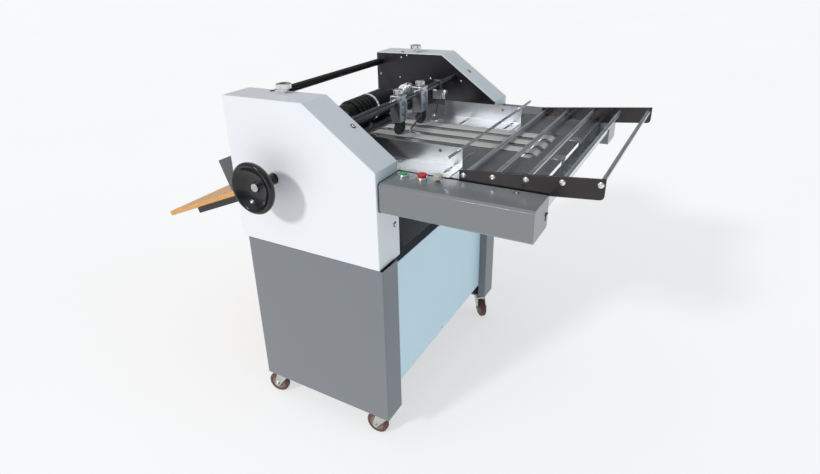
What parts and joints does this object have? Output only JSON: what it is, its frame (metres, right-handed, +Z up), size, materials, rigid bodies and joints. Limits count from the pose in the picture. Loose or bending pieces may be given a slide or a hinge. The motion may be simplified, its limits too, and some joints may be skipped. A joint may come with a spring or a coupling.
{
  "type": "paper creasing machine",
  "caption": "Floor-standing friction-feed creasing and perforating machine with belt feed table, rod tray, tool shafts, handwheel, wooden delivery board and caster stand.",
  "frame": {"origin": "centre of the bounding box on the floor, under the four caster wheels", "axes": "+X towards the feed tray, +Y away from the operator's side, +Z up"},
  "size_m": [1.525, 1.044, 1.097],
  "materials": {
    "paint_white": "satin powder coat",
    "paint_grey": "satin powder coat",
    "panel_blue": "semi-gloss powder coat",
    "black_steel": "semi-gloss black",
    "black_gloss": "moulded, glossy",
    "rubber_black": "matt",
    "rubber_brown": "matt",
    "chrome": "polished",
    "steel": "ground",
    "stainless": "polished",
    "zinc": "bright zinc",
    "aluminium": "machined",
    "dark_metal": "hammer finish",
    "table_grey": "dark ground steel",
    "belt_grey": "woven back, matt face",
    "cap_green": "glossy",
    "cap_red": "glossy",
    "dial_beige": "matt",
    "board_wood": "varnished board"
  },
  "bodies": {
    "machine": {"stand_frame": "paint_grey", "stand_side_near": "paint_grey", "stand_side_far": "paint_grey", "stand_front_panel": "panel_blue", "stand_rear_panel": "paint_grey", "side_frame_near": "black_steel", "side_frame_far": "black_steel", "side_cover_near": "paint_white", "side_cover_far": "paint_white", "tie_bar_rear": "black_steel", "beam_near": "paint_grey", "beam_far": "paint_grey", "feed_table": "table_grey", "cross_channel": "zinc", "feed_belt_near": "belt_grey", "feed_belt_middle": "belt_grey", "feed_belt_far": "belt_grey", "drive_belt": "rubber_black", "drive_motor": "dark_metal", "separator_bar": "steel", "tray_plate_near": "black_steel", "tray_plate_far": "black_steel", "tray_rod_1": "chrome", "tray_rod_2": "chrome", "tray_rod_3": "chrome", "tray_rod_4": "chrome", "tray_rod_5": "chrome", "delivery_board": "board_wood", "delivery_stop": "paint_grey", "delivery_bracket": "black_steel"},
    "lower_tool": {"lower_tool_shaft": "steel", "handwheel": "black_gloss"},
    "upper_tool": {"upper_tool_shaft": "chrome", "crease_sleeve": "rubber_black", "crease_ring": "chrome"},
    "front_roller": {"front_belt_roller": "steel"},
    "rear_roller": {"rear_belt_roller": "steel"},
    "motor_rotor": {"motor_pulley": "aluminium"},
    "press_near": {"pressure_knob_near": "chrome"},
    "press_far": {"pressure_knob_far": "chrome"},
    "separator_near": {"separator_block_near": "aluminium"},
    "separator_far": {"separator_block_far": "aluminium"},
    "separator_screw_near": {"separator_knob_near": "chrome"},
    "separator_screw_far": {"separator_knob_far": "chrome"},
    "hold_down": {"hold_down_clamp": "aluminium"},
    "guide_near": {"side_guide_near": "stainless", "guide_rod": "steel"},
    "guide_far": {"side_guide_far": "stainless"},
    "start_button": {"green_button": "cap_green"},
    "stop_button": {"red_button": "cap_red"},
    "dial": {"speed_dial": "dial_beige"},
    "rocker": {"power_rocker": "black_gloss"},
    "swivel_near_front": {"caster_fork_near_front": "zinc"},
    "wheel_near_front": {"caster_wheel_near_front": "rubber_brown"},
    "swivel_near_rear": {"caster_fork_near_rear": "zinc"},
    "wheel_near_rear": {"caster_wheel_near_rear": "rubber_brown"},
    "swivel_far_front": {"caster_fork_far_front": "zinc"},
    "wheel_far_front": {"caster_wheel_far_front": "rubber_brown"},
    "swivel_far_rear": {"caster_fork_far_rear": "zinc"},
    "wheel_far_rear": {"caster_wheel_far_rear": "rubber_brown"}
  },
  "joints": [
    {"name": "lower_shaft_spin", "type": "hinge", "parent": "machine", "child": "lower_tool", "pos_m": [-0.1005, -0.428, 0.84354], "axis": [0, 1, 0], "continuous": true},
    {"name": "upper_shaft_spin", "type": "hinge", "parent": "machine", "child": "upper_tool", "pos_m": [-0.1005, -0.428, 0.93454], "axis": [0, 1, 0], "continuous": true},
    {"name": "rear_roller_spin", "type": "hinge", "parent": "machine", "child": "rear_roller", "pos_m": [-0.0035, -0.428, 0.85804], "axis": [0, 1, 0], "continuous": true},
    {"name": "front_roller_spin", "type": "hinge", "parent": "machine", "child": "front_roller", "pos_m": [0.5135, -0.428, 0.85804], "axis": [0, 1, 0], "continuous": true},
    {"name": "motor_spin", "type": "hinge", "parent": "machine", "child": "motor_rotor", "pos_m": [0.0815, -0.428, 0.73454], "axis": [0, 1, 0], "continuous": true},
    {"name": "pressure_screw_near", "type": "hinge", "parent": "machine", "child": "press_near", "pos_m": [-0.1005, -0.344, 1.06954], "axis": [0, 0, 1], "range_deg": [-720, 720]},
    {"name": "pressure_screw_far", "type": "hinge", "parent": "machine", "child": "press_far", "pos_m": [-0.1005, 0.438, 1.06954], "axis": [0, 0, 1], "range_deg": [-720, 720]},
    {"name": "separator_slide_near", "type": "slide", "parent": "machine", "child": "separator_near", "axis": [0, 1, 0], "range_m": [-0.15, 0.04]},
    {"name": "separator_slide_far", "type": "slide", "parent": "machine", "child": "separator_far", "axis": [0, 1, 0], "range_m": [-0.04, 0.02]},
    {"name": "separator_screw_turn_near", "type": "hinge", "parent": "separator_near", "child": "separator_screw_near", "pos_m": [0.0785, -0.017, 1.01154], "axis": [0, 0, 1], "range_deg": [-360, 360]},
    {"name": "separator_screw_turn_far", "type": "hinge", "parent": "separator_far", "child": "separator_screw_far", "pos_m": [0.0785, 0.129, 1.01154], "axis": [0, 0, 1], "range_deg": [-360, 360]},
    {"name": "hold_down_slide", "type": "slide", "parent": "machine", "child": "hold_down", "axis": [0, 1, 0], "range_m": [-0.025, 0.08]},
    {"name": "guide_slide_near", "type": "slide", "parent": "machine", "child": "guide_near", "axis": [0, 1, 0], "range_m": [0, 0.15]},
    {"name": "guide_slide_far", "type": "slide", "parent": "machine", "child": "guide_far", "axis": [0, 1, 0], "range_m": [-0.008, 0.11]},
    {"name": "start_button_press", "type": "slide", "parent": "machine", "child": "start_button", "axis": [0, 0, -1], "range_m": [0, 0.0035], "stiffness_N_per_m": 500, "springref_m": -0.002},
    {"name": "stop_button_press", "type": "slide", "parent": "machine", "child": "stop_button", "axis": [0, 0, -1], "range_m": [0, 0.0035], "stiffness_N_per_m": 500, "springref_m": -0.002},
    {"name": "speed_dial_turn", "type": "hinge", "parent": "machine", "child": "dial", "pos_m": [0.3735, -0.343, 0.88254], "axis": [0, 0, 1], "range_deg": [-150, 150]},
    {"name": "power_rocker_tilt", "type": "hinge", "parent": "machine", "child": "rocker", "pos_m": [0.6415, -0.324, 0.83254], "axis": [0, 1, 0], "range_deg": [-14, 0]},
    {"name": "swivel_turn_near_front", "type": "hinge", "parent": "machine", "child": "swivel_near_front", "pos_m": [0.2115, -0.386, 0.09954], "axis": [0, 0, 1], "continuous": true},
    {"name": "wheel_spin_near_front", "type": "hinge", "parent": "swivel_near_front", "child": "wheel_near_front", "pos_m": [0.1835, -0.386, 0.03704], "axis": [0, -1, 0], "continuous": true},
    {"name": "swivel_turn_near_rear", "type": "hinge", "parent": "machine", "child": "swivel_near_rear", "pos_m": [-0.1985, -0.386, 0.09954], "axis": [0, 0, 1], "continuous": true},
    {"name": "wheel_spin_near_rear", "type": "hinge", "parent": "swivel_near_rear", "child": "wheel_near_rear", "pos_m": [-0.22607, -0.39086, 0.03704], "axis": [0.1736, -0.9848, 0], "continuous": true},
    {"name": "swivel_turn_far_front", "type": "hinge", "parent": "machine", "child": "swivel_far_front", "pos_m": [0.2115, 0.4, 0.09954], "axis": [0, 0, 1], "continuous": true},
    {"name": "wheel_spin_far_front", "type": "hinge", "parent": "swivel_far_front", "child": "wheel_far_front", "pos_m": [0.23024, 0.37919, 0.03704], "axis": [0.7431, 0.6691, 0], "continuous": true},
    {"name": "swivel_turn_far_rear", "type": "hinge", "parent": "machine", "child": "swivel_far_rear", "pos_m": [-0.1985, 0.4, 0.09954], "axis": [0, 0, 1], "continuous": true},
    {"name": "wheel_spin_far_rear", "type": "hinge", "parent": "swivel_far_rear", "child": "wheel_far_rear", "pos_m": [-0.22275, 0.414, 0.03704], "axis": [-0.5, -0.866, 0], "continuous": true}
  ],
  "couplings": [
    {"joint": "upper_shaft_spin", "follows": "lower_shaft_spin", "ratio": -1},
    {"joint": "rear_roller_spin", "follows": "lower_shaft_spin", "ratio": 1.4286},
    {"joint": "front_roller_spin", "follows": "lower_shaft_spin", "ratio": 1.4286},
    {"joint": "motor_spin", "follows": "lower_shaft_spin", "ratio": 1.9444}
  ]
}
